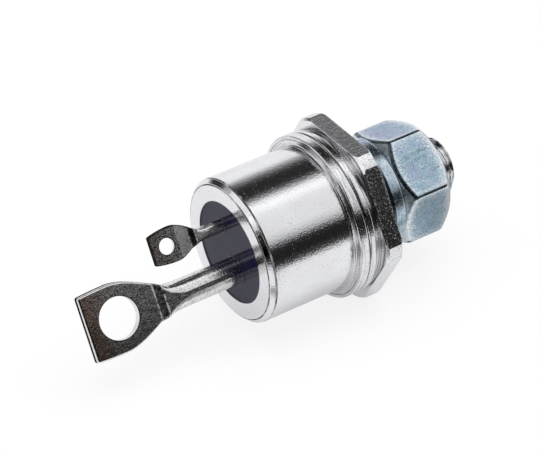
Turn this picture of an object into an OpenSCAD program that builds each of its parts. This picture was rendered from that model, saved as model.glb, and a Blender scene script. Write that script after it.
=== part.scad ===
// Stud-mount thyristor with two coined lug terminals, lying on one flat of its hexagonal flange.
// Millimetres. The origin is the centre of the seat, where the stud leaves the flange.
// The stud points along +X, the terminals along -X, and +Z is up.

/* [Base flange] */
// Hexagon across flats
flange_af = 17.35; // [16:0.05:20]
// Diameter to which the hexagon's corners are turned
flange_corner_d = 19.22; // [18.6:0.02:20]
// Thickness of the hexagon
flange_h = 1.91; // [1.2:0.01:2.5]
// Bevel on the turned corners
corner_bevel = 0.25; // [0.1:0.05:0.4]
// Height of the step between the hexagon and the weld ring
step_h = 0.5; // [0.3:0.01:1]
// How far the step lies inside the weld ring's edge
step_inset = 0.3; // [0.1:0.05:0.6]
// Height of the pedestal above the step
pedestal_h = 1.25; // [1:0.05:2]
// Radial room between the pedestal and the cap
pedestal_gap = 0.4; // [0.3:0.05:1]

/* [Stud] */
// Thread diameter
stud_d = 6.35; // [5.5:0.01:8]
// Length from the seat to the tip
stud_l = 11.28; // [11:0.01:16]
// Radial size of the bevel at the tip
stud_bevel = 0.32; // [0.2:0.01:0.6]
// Length of the bevel at the tip
stud_bevel_l = 0.47; // [0.3:0.01:0.8]
// Depth of the thread relief under the flange
relief_depth = 0.48; // [0.2:0.01:0.7]
// Length of the thread relief
relief_l = 0.9; // [0.5:0.05:1.5]

/* [Nut and lock washer] */
// Nut across flats
nut_af = 11.02; // [10:0.01:13]
// Nut height
nut_h = 5.7; // [4.5:0.05:6.5]
// Angle of the nut on the thread
nut_turn = 20.1; // [0:0.1:60]
// How far the nut's flat end faces lie inside its flats
nut_face_inset = 0.35; // [0.1:0.05:0.8]
// Angle of the nut's end bevels from its end faces
nut_bevel_angle = 40; // [25:1:45]
// Bevel at the mouths of the nut's hole
nut_mouth = 0.4; // [0.2:0.05:0.6]
// Radial room between the stud and the nut
nut_clearance = 0.05; // [0.02:0.01:0.2]
// Width of the lock washer's wire section
washer_w = 2.5; // [2:0.05:3]
// Thickness of the lock washer's wire section
washer_t = 1.5; // [1.2:0.05:2]
// Bevel on the lock washer's edges
washer_bevel = 0.16; // [0.05:0.01:0.3]
// Axial set of one end of the washer against the other
washer_rise = 0.5; // [0.2:0.05:1.2]
// Free travel of the washer between the nut and the seat
washer_play = 1.31; // [0.3:0.01:2]
// Radial room between the stud and the washer
washer_clearance = 0.17; // [0.1:0.01:0.4]
// Width of the split, as an angle
split_angle = 7; // [4:1:15]
// Angle at which the split lies
split_turn = 25; // [0:1:360]

/* [Cap] */
// Outside diameter of the cap
cap_d = 15.22; // [14.6:0.02:15.8]
// Wall of the cap around the cavity
cap_wall = 1; // [0.7:0.05:1.2]
// Height of the cap from the weld to its front face
cap_h = 10.99; // [10.4:0.01:13]
// Radial size of the bevel round the front face
mouth_bevel = 0.45; // [0.2:0.01:0.8]
// Length of that bevel along the axis
mouth_bevel_l = 0.49; // [0.3:0.01:0.8]
// How far the weld ring and the cap's weld flange lie inside the hexagon's flats
weld_inset = 0.035; // [0.02:0.005:0.3]
// Thickness of the weld ring
weld_ring_h = 0.85; // [0.6:0.02:1.2]
// Radial room between the weld ring and the pedestal
ring_clearance = 0.05; // [0.02:0.01:0.1]
// Thickness of the cap's weld flange
cap_flange_h = 1.08; // [0.7:0.05:1.5]
// Radius of the fillet between the weld flange and the wall
cap_fillet = 0.65; // [0.3:0.05:0.7]
// Bevel on turned edges
edge_bevel = 0.12; // [0.05:0.01:0.2]

/* [Glass seal] */
// Diameter of the glass
glass_d = 10.8; // [10.2:0.02:11.4]
// Thickness of the glass
glass_t = 3; // [2.2:0.1:3.5]
// How far the glass lies behind the front face
glass_recess = 0.15; // [0.05:0.01:0.3]
// How far the pins reach out under the glass
pin_drop = 1.2; // [0.8:0.1:1.5]
// Depth of the sockets in the pins' lower ends
socket_depth = 1.6; // [1:0.1:2]
// Direction of the line through both pins
terminal_turn = 30; // [0:1:360]
// How far both lugs are pressed to one side of their pins
lug_shift = 0.2; // [0:0.02:0.3]

/* [Cathode terminal] */
// Pin diameter
cathode_pin_d = 2.85; // [2.7:0.05:3.2]
// Distance of the pin from the axis
cathode_offset = 1.86; // [1.6:0.02:2.2]
// Height of the lug's tip above the front face
cathode_reach = 16.96; // [15:0.02:20]
// Largest width of the lug
cathode_lug_w = 7; // [6.4:0.05:8]
// Width of the lug at its tip
cathode_tip_w = 6.72; // [6:0.02:7]
// Thickness of the lug
cathode_lug_t = 1; // [0.7:0.05:1.3]
// Distance from the tip to the widest place
cathode_shoulder = 3.2; // [2.5:0.05:4]
// Length of the flat lug from the tip to the press ramp
cathode_flat_l = 7.75; // [7:0.05:8.5]
// Length of the press ramp
cathode_ramp_l = 0.72; // [0.5:0.02:1.5]
// Diameter of the lug's hole
cathode_hole_d = 4.3; // [3.5:0.05:4.8]
// Distance from the tip to the hole's centre
cathode_hole_back = 3.52; // [3.1:0.02:4.2]

/* [Gate terminal] */
// Pin diameter
gate_pin_d = 1.35; // [1.2:0.05:1.6]
// Distance of the pin from the axis
gate_offset = 2.82; // [2.5:0.02:3.2]
// Height of the lug's tip above the front face
gate_reach = 7.94; // [7.2:0.02:10]
// Largest width of the lug
gate_lug_w = 3.6; // [3.1:0.05:4]
// Width of the lug at its tip
gate_tip_w = 2.95; // [2.6:0.05:3.4]
// Thickness of the lug
gate_lug_t = 0.55; // [0.4:0.05:0.8]
// Distance from the tip to the widest place
gate_shoulder = 2.5; // [1.8:0.05:2.9]
// Length of the flat lug from the tip to the press ramp
gate_flat_l = 4.2; // [3.5:0.05:4.6]
// Length of the press ramp
gate_ramp_l = 0.65; // [0.4:0.05:1]
// Diameter of the lug's hole
gate_hole_d = 1.65; // [1.3:0.05:2]
// Distance from the tip to the hole's centre
gate_hole_back = 1.7; // [1.4:0.05:2.1]

/* [Inside] */
// Diameter of the silicon pellet
pellet_d = 10.2; // [9:0.1:10.8]
// Thickness of the silicon pellet
pellet_t = 0.4; // [0.25:0.05:0.6]
// How far the anode plate reaches past the pellet
plate_margin = 0.5; // [0.45:0.05:0.6]
// Thickness of the anode plate
plate_t = 1; // [0.6:0.05:1.2]
// How far the cathode contact stays inside the pellet's edge
contact_margin = 0.9; // [0.6:0.05:1.2]
// Thickness of the cathode contact
contact_t = 0.6; // [0.4:0.05:0.9]
// Diameter of the gate window in the cathode contact
window_d = 2.2; // [1.8:0.1:2.6]
// How far the coating reaches past the pellet's edge
coat_w = 0.35; // [0.25:0.05:0.4]
// Height of the coating above the pellet
coat_h = 0.25; // [0.15:0.05:0.4]
// Room between the coating and the cathode contact
coat_gap = 0.15; // [0.05:0.05:0.3]
// Diameter of one strand of the cathode lead
strand_d = 0.8; // [0.6:0.02:0.9]
// Radial room around the leads in their sockets
lead_clearance = 0.06; // [0.03:0.01:0.1]
// Wall and floor of the lead cup
cup_wall = 0.3; // [0.2:0.05:0.4]
// Depth of the lead cup
cup_depth = 0.9; // [0.6:0.05:1.2]
// Diameter of the gate wire
gate_wire_d = 0.6; // [0.4:0.05:0.7]
// Wall of the sleeve on the gate wire
sleeve_wall = 0.22; // [0.15:0.01:0.3]
// Bare length of the gate wire at each end of its sleeve
sleeve_bare = 0.6; // [0.4:0.05:0.9]

/* [Hidden] */
$fn = 96;

nickel = [0.80, 0.79, 0.77];
bare_lug = [0.56, 0.54, 0.51];
dark_glass = [0.17, 0.14, 0.22];
blue_zinc = [0.62, 0.72, 0.78];
grey_metal = [0.50, 0.51, 0.53];
silicon = [0.28, 0.30, 0.36];
white_coat = [0.90, 0.88, 0.84];
copper = [0.78, 0.47, 0.33];

// Heights along the axis, from the seat towards the terminals
z_step = flange_h;
z_weld_ring = z_step + step_h;
z_cap = z_weld_ring + weld_ring_h;
z_cap_flange = z_cap + cap_flange_h;
z_face = z_cap + cap_h;
z_glass = z_face - glass_recess;
z_glass_under = z_glass - glass_t;
z_pin_end = z_glass_under - pin_drop;
z_plate = z_weld_ring + pedestal_h;
z_pellet = z_plate + plate_t;
z_contact = z_pellet + pellet_t;
z_cup = z_contact + contact_t;

// Radii and diameters that pieces share
weld_d = flange_af - 2 * weld_inset;
cap_bore_r = cap_d / 2 - cap_wall;
pedestal_r = cap_bore_r - pedestal_gap;
contact_r = pellet_d / 2 - contact_margin;
// Seven strands make a lead that is three strands wide
lead_r = 3 * strand_d / 2;
socket_r = lead_r + lead_clearance;
gate_socket_r = gate_wire_d / 2 + lead_clearance;

// The nut stands off the seat by the washer and its free travel
z_nut = -(washer_t + washer_rise + washer_play);
washer_in_r = stud_d / 2 + washer_clearance;
washer_seat = 0.02;

// Shape of the pressed pins, in pin diameters: where they flatten and widen below the crest,
// and their thickness and edge radius at the crest
flatten_share = 0.55;
widen_share = 0.25;
crest_share = 0.84;
crest_round = 0.14;
// Edge radius of the lugs, as a share of their thickness
edge_share = 0.2;
// How late the pins flatten and widen
flatten_power = 1.5;
widen_power = 1.2;

// Steps of the faceted sweeps
lug_sides = 36;
flatten_steps = 5;
ramp_steps = 3;
widen_steps = 8;
tip_steps = 3;
washer_steps = 60;
lead_twist = 150;
lead_steps = 12;
// Pitch of the outer strands, in strand diameters, so that they just press into the core
strand_lay = 0.96;
// A loft that takes over from a pin starts this much wider than it
loft_cover = 0.01;
// Length of pin inside the start of its loft
loft_lap = 0.4;
// Extra length of cutters past the faces that they open
cut = 1;

// Lays the upright part down on a flat of its hexagon
module lay() rotate([0, -90, 0]) children();

// Turns the line of the two pins to its place
module pin_line() rotate([0, 0, terminal_turn]) children();

// Turned ring between two radii and two heights with bevelled outer edges
module turned(r0, r1, z0, z1, bevel)
  rotate_extrude()
    polygon([
      [r0, z0], [r1 - bevel, z0], [r1, z0 + bevel],
      [r1, z1 - bevel], [r1 - bevel, z1], [r0, z1]
    ]);

// Hexagonal prism with a flat towards +X
module hexagon(af, h) rotate([0, 0, 30]) cylinder(d = af / cos(30), h = h, $fn = 6);

// Skin over a row of rings of points, each turning anticlockwise about the sweep
module loft(rings) {
  n = len(rings[0]);
  m = len(rings);
  sides = [
    for (j = [0:m - 2], i = [0:n - 1])
      let (k = (i + 1) % n)
        each [
          [j * n + i, (j + 1) * n + i, (j + 1) * n + k],
          [j * n + i, (j + 1) * n + k, j * n + k]
        ]
  ];
  first = [for (i = [0:n - 1]) i];
  last = [for (i = [n - 1:-1:0]) (m - 1) * n + i];
  polyhedron(points = [for (ring = rings) each ring], faces = concat([first], sides, [last]));
}

// Rectangle with rounded corners about x at height z; a circle where the three sizes are the same
function section(half_w, half_t, corner, x, z) = [
  for (i = [0:lug_sides - 1])
    let (a = (i + 0.5) * 360 / lug_sides, r = corner / cos(180 / lug_sides))
      [x + sign(cos(a)) * (half_w - corner) + r * cos(a), sign(sin(a)) * (half_t - corner) + r * sin(a), z]
];

// How much of the way between two heights lies below z
function share(z, from, to) = min(1, max(0, (z - from) / (to - from)));

// Points that cut a length into equal steps, without the first
function along(from, to, steps) = [for (i = [1:steps]) from + (to - from) * i / steps];

// Pin that flattens up to a crest and is pressed from there into a lug with a hole; the lug is thin along Y
module terminal(pin_d, socket_r, reach, lug_w, tip_w, lug_t, shoulder, flat_l, ramp_l, hole_d, hole_back) {
  z_tip = z_face + reach;
  z_shoulder = z_tip - shoulder;
  z_flat = z_tip - flat_l;
  z_crest = z_flat - ramp_l;
  z_round = z_crest - flatten_share * pin_d;
  z_widen = z_crest - widen_share * pin_d;
  z_loft = z_round - 2 * loft_lap;
  round_r = pin_d / 2 + loft_cover;
  crest_t = crest_share * pin_d;
  crest_r = crest_round * pin_d;
  edge_r = edge_share * lug_t;
  heights = concat(
    [z_loft, z_round],
    along(z_round, z_crest, flatten_steps),
    along(z_crest, z_flat, ramp_steps),
    along(z_flat, z_shoulder, widen_steps),
    along(z_shoulder, z_tip, tip_steps)
  );
  function half_t(z) =
    z <= z_crest
      ? round_r + (crest_t / 2 - round_r) * pow(share(z, z_round, z_crest), flatten_power)
      : crest_t / 2 + (lug_t - crest_t) / 2 * share(z, z_crest, z_flat);
  function half_w(z) =
    z <= z_shoulder
      ? round_r + (lug_w / 2 - round_r) * sin(90 * pow(share(z, z_widen, z_shoulder), widen_power))
      : lug_w / 2 - (lug_w - tip_w) / 2 * pow(share(z, z_shoulder, z_tip), 2);
  function corner(z) =
    z <= z_crest
      ? round_r + (crest_r - round_r) * pow(share(z, z_round, z_crest), flatten_power)
      : crest_r + (edge_r - crest_r) * share(z, z_crest, z_flat);
  function side(z) = lug_shift * share(z, z_widen, z_flat);
  difference() {
    union() {
      translate([0, 0, z_pin_end]) cylinder(d = pin_d, h = z_loft + loft_lap - z_pin_end);
      loft([for (z = heights) section(half_w(z), half_t(z), corner(z), side(z), z)]);
    }
    translate([0, 0, z_pin_end - cut]) cylinder(r = socket_r, h = socket_depth + cut);
    translate([lug_shift, lug_w / 2, z_tip - hole_back]) rotate([90, 0, 0]) cylinder(d = hole_d, h = lug_w);
  }
}

module stud_base() color(nickel) lay() {
  intersection() {
    hexagon(flange_af, flange_h);
    turned(0, flange_corner_d / 2, 0, flange_h, corner_bevel);
  }
  translate([0, 0, flange_h / 2]) cylinder(r = weld_d / 2 - step_inset, h = flange_h / 2 + step_h);
  translate([0, 0, flange_h / 2]) cylinder(r = pedestal_r, h = z_plate - flange_h / 2);
  rotate_extrude()
    polygon([
      [0, flange_h / 2], [stud_d / 2 - relief_depth, flange_h / 2], [stud_d / 2 - relief_depth, -relief_l],
      [stud_d / 2, -relief_l - relief_depth], [stud_d / 2, stud_bevel_l - stud_l],
      [stud_d / 2 - stud_bevel, -stud_l], [0, -stud_l]
    ]);
}

module weld_ring() color(nickel) lay()
  turned(pedestal_r + ring_clearance, weld_d / 2, z_weld_ring, z_cap, edge_bevel);

// Turned cap with a weld flange, a wide cavity and a thick mouth that holds the glass
module housing_cap() color(nickel) lay()
  rotate_extrude()
    difference() {
      union() {
        polygon([
          [cap_bore_r, z_cap], [cap_d / 2, z_cap], [cap_d / 2, z_face - mouth_bevel_l],
          [cap_d / 2 - mouth_bevel, z_face], [glass_d / 2, z_face], [glass_d / 2, z_glass_under],
          [cap_bore_r, z_glass_under]
        ]);
        polygon([
          [cap_bore_r, z_cap], [weld_d / 2 - edge_bevel, z_cap], [weld_d / 2, z_cap + edge_bevel],
          [weld_d / 2, z_cap_flange - edge_bevel], [weld_d / 2 - edge_bevel, z_cap_flange],
          [cap_bore_r, z_cap_flange]
        ]);
        translate([cap_bore_r, z_cap]) square([cap_wall + cap_fillet, cap_flange_h + cap_fillet]);
      }
      translate([cap_d / 2 + cap_fillet, z_cap_flange + cap_fillet]) circle(r = cap_fillet);
    }

module glass_seal() color(dark_glass) lay()
  difference() {
    translate([0, 0, z_glass_under]) cylinder(d = glass_d, h = glass_t);
    pin_line() {
      translate([-cathode_offset, 0, z_glass_under - cut])
        cylinder(d = cathode_pin_d, h = glass_t + 2 * cut);
      translate([gate_offset, 0, z_glass_under - cut])
        cylinder(d = gate_pin_d, h = glass_t + 2 * cut);
    }
  }

module cathode_terminal() color(bare_lug) lay() pin_line()
  translate([-cathode_offset, 0, 0])
    terminal(
      cathode_pin_d, socket_r, cathode_reach, cathode_lug_w, cathode_tip_w, cathode_lug_t,
      cathode_shoulder, cathode_flat_l, cathode_ramp_l, cathode_hole_d, cathode_hole_back
    );

module gate_terminal() color(bare_lug) lay() pin_line()
  translate([gate_offset, 0, 0])
    terminal(
      gate_pin_d, gate_socket_r, gate_reach, gate_lug_w, gate_tip_w, gate_lug_t,
      gate_shoulder, gate_flat_l, gate_ramp_l, gate_hole_d, gate_hole_back
    );

// Left-hand split ring, wound so that its ends bite when the nut turns back
module lock_washer() color(blue_zinc) lay() {
  turn = 360 - split_angle;
  first = split_turn + split_angle / 2;
  r0 = washer_in_r;
  r1 = washer_in_r + washer_w;
  b = washer_bevel;
  z_first = z_nut + washer_seat + washer_rise;
  // Section as height over the ring's lower face and radius
  outline = [
    [0, r0 + b], [b, r0], [washer_t - b, r0], [washer_t, r0 + b],
    [washer_t, r1 - b], [washer_t - b, r1], [b, r1], [0, r1 - b]
  ];
  loft([
    for (i = [0:washer_steps])
      let (a = first + turn * i / washer_steps, z = z_first - washer_rise * i / washer_steps)
        [for (j = [len(outline) - 1:-1:0])
          let (p = outline[j]) [p[1] * cos(a), p[1] * sin(a), z + p[0]]]
  ]);
}

module hex_nut() color(blue_zinc) lay() {
  face_r = nut_af / 2 - nut_face_inset;
  corner_r = nut_af / 2 / cos(30);
  fall = (corner_r - face_r) * tan(nut_bevel_angle);
  bore_r = stud_d / 2 + nut_clearance;
  translate([0, 0, z_nut - nut_h])
    difference() {
      intersection() {
        rotate([0, 0, nut_turn]) hexagon(nut_af, nut_h);
        rotate_extrude()
          polygon([
            [0, 0], [face_r, 0], [corner_r, fall], [corner_r, nut_h - fall], [face_r, nut_h], [0, nut_h]
          ]);
      }
      translate([0, 0, -cut]) cylinder(r = bore_r, h = nut_h + 2 * cut);
      cylinder(r1 = bore_r + nut_mouth, r2 = bore_r, h = nut_mouth);
      translate([0, 0, nut_h - nut_mouth]) cylinder(r1 = bore_r, r2 = bore_r + nut_mouth, h = nut_mouth);
    }
}

module anode_plate() color(grey_metal) lay()
  translate([0, 0, z_plate]) cylinder(r = pellet_d / 2 + plate_margin, h = plate_t);

module silicon_pellet() color(silicon) lay()
  translate([0, 0, z_pellet]) cylinder(d = pellet_d, h = pellet_t);

module junction_coating() color(white_coat) lay()
  rotate_extrude()
    polygon([
      [pellet_d / 2, z_pellet], [pellet_d / 2 + coat_w, z_pellet],
      [pellet_d / 2 + coat_w, z_contact], [pellet_d / 2, z_contact + coat_h],
      [contact_r + coat_gap, z_contact + coat_h], [contact_r + coat_gap, z_contact],
      [pellet_d / 2, z_contact]
    ]);

module cathode_contact() color(grey_metal) lay()
  difference() {
    translate([0, 0, z_contact]) cylinder(r = contact_r, h = contact_t);
    pin_line() translate([gate_offset, 0, z_contact - cut]) cylinder(d = window_d, h = contact_t + 2 * cut);
  }

module lead_cup() color(copper) lay() pin_line()
  translate([-cathode_offset, 0, z_cup])
    difference() {
      cylinder(r = socket_r + cup_wall, h = cup_wall + cup_depth);
      translate([0, 0, cup_wall]) cylinder(r = socket_r, h = cup_depth + cut);
    }

// Six strands laid round a seventh
module cathode_lead() color(copper) lay() pin_line()
  translate([-cathode_offset, 0, z_cup + cup_wall])
    linear_extrude(
      height = z_pin_end + socket_depth - z_cup - cup_wall,
      twist = lead_twist,
      slices = lead_steps,
      $fn = 10
    )
      for (i = [0:6])
        rotate(i * 60)
          translate([i < 6 ? strand_lay * strand_d : 0, 0]) circle(d = strand_d);

module gate_lead() color(copper) lay() pin_line()
  translate([gate_offset, 0, z_contact])
    cylinder(d = gate_wire_d, h = z_pin_end + socket_depth - z_contact);

module gate_sleeve() color(white_coat) lay() pin_line()
  translate([gate_offset, 0, z_contact + sleeve_bare])
    difference() {
      cylinder(r = gate_socket_r + sleeve_wall, h = z_pin_end - z_contact - 2 * sleeve_bare);
      translate([0, 0, -cut]) cylinder(r = gate_socket_r, h = z_pin_end - z_contact + 2 * cut);
    }

stud_base();
weld_ring();
housing_cap();
glass_seal();
cathode_terminal();
gate_terminal();
lock_washer();
hex_nut();
anode_plate();
silicon_pellet();
junction_coating();
cathode_contact();
lead_cup();
cathode_lead();
gate_lead();
gate_sleeve();
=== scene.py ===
"""Dressed stud-mount thyristor: plated metal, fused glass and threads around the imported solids."""

import math
from functools import partial
from types import SimpleNamespace

import bmesh
import bpy
import numpy as np
from mathutils import Matrix, Vector
from mathutils.geometry import delaunay_2d_cdt


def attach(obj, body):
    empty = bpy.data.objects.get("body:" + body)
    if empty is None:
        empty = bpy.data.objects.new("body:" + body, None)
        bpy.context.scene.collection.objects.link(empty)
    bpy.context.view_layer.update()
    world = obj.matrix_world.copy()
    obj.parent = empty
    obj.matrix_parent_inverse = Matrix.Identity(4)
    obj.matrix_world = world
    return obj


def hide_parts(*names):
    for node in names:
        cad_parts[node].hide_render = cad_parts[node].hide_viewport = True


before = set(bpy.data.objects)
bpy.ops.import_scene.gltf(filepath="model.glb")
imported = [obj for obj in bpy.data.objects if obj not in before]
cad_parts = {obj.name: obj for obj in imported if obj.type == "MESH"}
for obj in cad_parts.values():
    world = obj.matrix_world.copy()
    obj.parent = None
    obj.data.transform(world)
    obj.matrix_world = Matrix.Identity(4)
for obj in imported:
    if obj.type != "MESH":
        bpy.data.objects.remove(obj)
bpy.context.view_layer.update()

MM = 0.001
# Sizes in millimetres, upright: the seat at height 0, the terminals up, the stud down
FLANGE_AF = 17.35
FLANGE_CORNER_R = 9.61
FLANGE_H = 1.91
CORNER_BEVEL = 0.25
STEP_R = 8.34
PEDESTAL_R = 6.21
STUD_R = 3.175
STUD_L = 11.28
STUD_BEVEL = 0.32
STUD_BEVEL_L = 0.47
RELIEF_R = 2.695
RELIEF_L = 0.9
PITCH = 25.4 / 28
THREAD_DEPTH = 0.5
THREAD_PLAY = 0.01
THREAD_STEPS = 18
CREST_SHARE = 0.14
FLANK_SHARE = 0.68
NUT_AF = 11.02
NUT_H = 5.7
NUT_TURN = 20.1
NUT_FACE_R = 5.16
NUT_BORE_R = 3.225
NUT_MOUTH = 0.4
NUT_SOFT = 0.42
NUT_DARK_CORNER = 0.75
NUT_UNSHADED_SIDE = (212, 268)
NUT_BEVEL_SLOPE = math.tan(math.radians(40))
WASHER_IN_R = 3.345
WASHER_W = 2.5
WASHER_T = 1.5
WASHER_RISE = 0.5
WASHER_SPLIT = 7
WASHER_SPLIT_TURN = 25
WASHER_SEAT = 0.02
WASHER_STEPS = 140
CAP_R = 7.61
CAP_BORE_R = 6.61
WELD_R = 8.64
MOUTH_BEVEL = 0.45
MOUTH_BEVEL_L = 0.49
GLASS_R = 5.4
GLASS_CREEP = 0.05
GLASS_CREEP_REACH = 0.1
Z_WELD_RING = FLANGE_H + 0.5
Z_CAP = Z_WELD_RING + 0.85
Z_CAP_FLANGE = Z_CAP + 1.08
Z_FACE = Z_CAP + 10.99
Z_GLASS = Z_FACE - 0.15
Z_GLASS_UNDER = Z_GLASS - 3
Z_PIN_END = Z_GLASS_UNDER - 1.2
Z_PLATE = Z_WELD_RING + 1.25
Z_NUT = -3.31
FLOOR_Z = -FLANGE_AF / 2 - 0.01
NUT_TOP = (0, math.cos(math.radians(90 - NUT_TURN)), math.sin(math.radians(90 - NUT_TURN)))

# Terminals. A share of the lug's edge tore and is painted black as shade, and rubbed says if the rest of it
# is bright rather than painted black too
CATHODE = SimpleNamespace(
    pin_d=2.85, socket_r=1.26, reach=16.96, lug_w=7.0, tip_w=6.72, lug_t=1.0, shoulder=3.2, flat_l=7.75,
    ramp_l=0.72, hole_d=4.3, hole_back=3.52, edge=0.2, offset=-1.86, rubbed=True)
GATE = SimpleNamespace(
    pin_d=1.35, socket_r=0.36, reach=7.94, lug_w=3.6, tip_w=2.95, lug_t=0.55, shoulder=2.5, flat_l=4.2,
    ramp_l=0.65, hole_d=1.65, hole_back=1.7, edge=0.11, offset=2.82, rubbed=False)
TORN_SHARE = 0.75
SOCKET_DEPTH = 1.6
TERMINAL_TURN = 30
LUG_SHIFT = 0.2
HOLE_BEVEL = 0.09
PIN_BEVEL = 0.05
FLATTEN_SHARE = 0.85
WIDEN_SHARE = 0.25
CREST_T_SHARE = 0.42
CREST_R_SHARE = 0.14
FLATTEN_POWER = 1.5
WIDEN_POWER = 1.2
CREASE_STEPS = (-0.08, -0.04, 0.0, 0.04, 0.08)
CREASE_REACH = 0.07
CREASE_GAP = 0.12
ARC_POINTS = 5
FLAT_NORMAL = (0, math.cos(math.radians(TERMINAL_TURN)), -math.sin(math.radians(TERMINAL_TURN)))

# Fineness of the meshes, the share of a side that a round may take, the distance of its guard points, and
# the angles in degrees that shade as edges
RING_SEGMENTS = 192
HOLE_SEGMENTS = 72
WALL_SEGMENTS = 160
ROUND_LIMIT = 0.42
GUARD = 0.04
GUARD_SHARE = 0.05
SHARP = 35
LUG_SHARP = 28

# Fitted camera of the photograph, in the row frame
CAMERA_PLACE = (-0.132847, -0.192101, 0.173141)
CAMERA_RIGHT = (0.83113, -0.55557, -0.02382)
CAMERA_UP = (0.35012, 0.48952, 0.79861)
CAMERA_FORWARD = (0.43203, 0.67209, -0.60137)
CAMERA_LENS = 192.84

# Light of the room by the angle in degrees round the part's length: 0 behind it, 90 overhead, 180 in front
SKY = ((-180, 0.02), (-165, 0.8), (-2, 0.97), (24, 0.94), (31, 0.5), (38, 0.2), (44, 0.09), (50, 0.024),
       (72, 0.028), (79, 0.25), (85, 0.9), (89, 1.15), (97, 1.15), (103, 0.93), (110, 0.88), (138, 0.84),
       (147, 0.6), (152, 0.42), (155, 0.15), (158, 0.02), (180, 0.014))
SKY_TINT = (0.975, 0.98, 1.0)
# Patches of the room: direction, and the cosines at which a patch starts and is full
LEFT_SCREEN = ((-0.71, 0.37, 0.6), 0.93, 0.965)
RIGHT_SCREEN = ((0.995, 0, 0.1), 0.86, 0.94)
SCREEN_COLOR = (0.9, 0.905, 0.92)
PHOTOGRAPHER_SIDE = ((-0.43203, -0.67209, 0.60137), 0.81, 0.905)
GAP_BEHIND = ((-0.34, 0.92, 0.2), 0.94, 0.975)
GAP_IN_FRONT = ((-0.86, -0.46, 0.22), 0.93, 0.965)
DARK_LEVEL = 0.04
LAMP_SIZE = 0.9
LAMP_POWER = 6.0
LAMP_PLACE = (0.05, 0.0, 0.8)

# White sheet on the floor as metal and glass see it: start and end of a change, and the levels there. The
# places are in metres, and the shade goes by how open a place is
SHEET_FRONT = (-0.075, -0.042, 0.025, 0.88)
SHEET_LEFT = (-0.08, -0.045, 0.04, 1.0)
DIM_LEFT = (0.005, 0.012, 1.0, 0.38)
DIM_BACK = (0.02, 0.035, 0.38, 1.0)
DIM_FRONT = (-0.019, -0.014, 1.0, 0.38)
STRIP_ACROSS = (1, 0.45, 0)
STRIP_RIGHT = (-0.0185, -0.0155, 0.08, 1.0)
STRIP_LEFT = (-0.033, -0.029, 1.0, 0.08)
STRIP_BACK = (-0.014, -0.01, 0.08, 1.0)
SHADE_LEVELS = (0.1, 0.8, 0.72, 1.0)
SHADE_REACH = 0.008
MIRROR_SHARE = (-0.09, -0.05, 0.97, 0.75)
MIRROR_COLOR = (0.97, 0.975, 1)
SEEN_SHARE = 0.85
FLOOR_COLOR = (0.9, 0.9, 0.9)
FLOOR_HALF = 1.5
WHITE = (1, 1, 1)
OCCLUSION_SAMPLES = 8


def to_row(points):
    """Upright millimetres to the row frame in metres, where the part lies on a flat of its flange."""
    p = np.asarray(points, float)
    return np.column_stack([-p[:, 2], p[:, 1], p[:, 0]]) * MM


def closed_mesh(name, points, faces, materials=(), face_slots=None):
    """Smooth mesh of upright points, with its faces turned outward."""
    mesh = bpy.data.meshes.new(name)
    mesh.from_pydata(to_row(points).tolist(), [], faces)
    for material in materials:
        mesh.materials.append(material)
    if face_slots is not None:
        mesh.polygons.foreach_set("material_index", face_slots)
    bm = bmesh.new()
    bm.from_mesh(mesh)
    bmesh.ops.recalc_face_normals(bm, faces=bm.faces)
    bm.to_mesh(mesh)
    bm.free()
    mesh.shade_smooth()
    return mesh


def new_object(name, data):
    """Object in the scene."""
    obj = bpy.data.objects.new(name, data)
    bpy.context.scene.collection.objects.link(obj)
    return obj


def add_piece(name, node, points, faces, materials, face_slots=None, sharp=SHARP):
    """Makes a closed mesh into a piece that stands for a CAD node."""
    mesh = closed_mesh(name, points, faces, materials, face_slots)
    mesh.set_sharp_from_angle(angle=math.radians(sharp))
    obj = new_object(name, mesh)
    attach(obj, "root")
    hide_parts(node)
    return obj


def grid_faces(rows, cols, wrap_rows=False):
    """Quads between the rows of a grid of points. Each row closes on itself."""
    faces = []
    for i in range(rows if wrap_rows else rows - 1):
        n = (i + 1) % rows
        for j in range(cols):
            k = (j + 1) % cols
            faces.append((i * cols + j, i * cols + k, n * cols + k, n * cols + j))
    return faces


def rounded(corners, closed=True, steps=4):
    """Outline whose corners (r, z, radius) are rounded. Guard points beside a round keep the shading of the
    straight stretches flat. Each point is (r, z, number of its corner)."""
    out = []
    n = len(corners)
    for i, (x, y, radius) in enumerate(corners):
        p = np.array((x, y), float)
        if radius == 0 or (not closed and i in (0, n - 1)):
            out.append((*p, i))
            continue
        a = np.array(corners[i - 1][:2], float) - p
        b = np.array(corners[(i + 1) % n][:2], float) - p
        la, lb = np.linalg.norm(a), np.linalg.norm(b)
        a, b = a / la, b / lb
        half = 0.5 * math.acos(float(np.clip(a @ b, -1, 1)))
        cut = min(radius / math.tan(half), ROUND_LIMIT * la, ROUND_LIMIT * lb)
        r = cut * math.tan(half)
        middle = p + (a + b) / np.linalg.norm(a + b) * r / math.sin(half)
        s, e = p + a * cut - middle, p + b * cut - middle
        t0 = math.atan2(s[1], s[0])
        turn = (math.atan2(e[1], e[0]) - t0 + math.pi) % (2 * math.pi) - math.pi
        out.append((*(p + a * (cut + min(GUARD, GUARD_SHARE * la))), i))
        for k in range(steps + 1):
            t = t0 + turn * k / steps
            out.append((*(middle + r * np.array((math.cos(t), math.sin(t)))), i))
        out.append((*(p + b * (cut + min(GUARD, GUARD_SHARE * lb))), i))
    return np.array(out)


def spun(profiles, angles):
    """Points of a turned grid: one profile of (r, z) for each angle in degrees. Rows follow the profile."""
    a = np.radians(angles)[None, :]
    p = np.array(profiles).transpose(1, 0, 2)
    return np.stack([p[:, :, 0] * np.cos(a), p[:, :, 0] * np.sin(a), p[:, :, 1]], -1).reshape(-1, 3)


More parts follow.
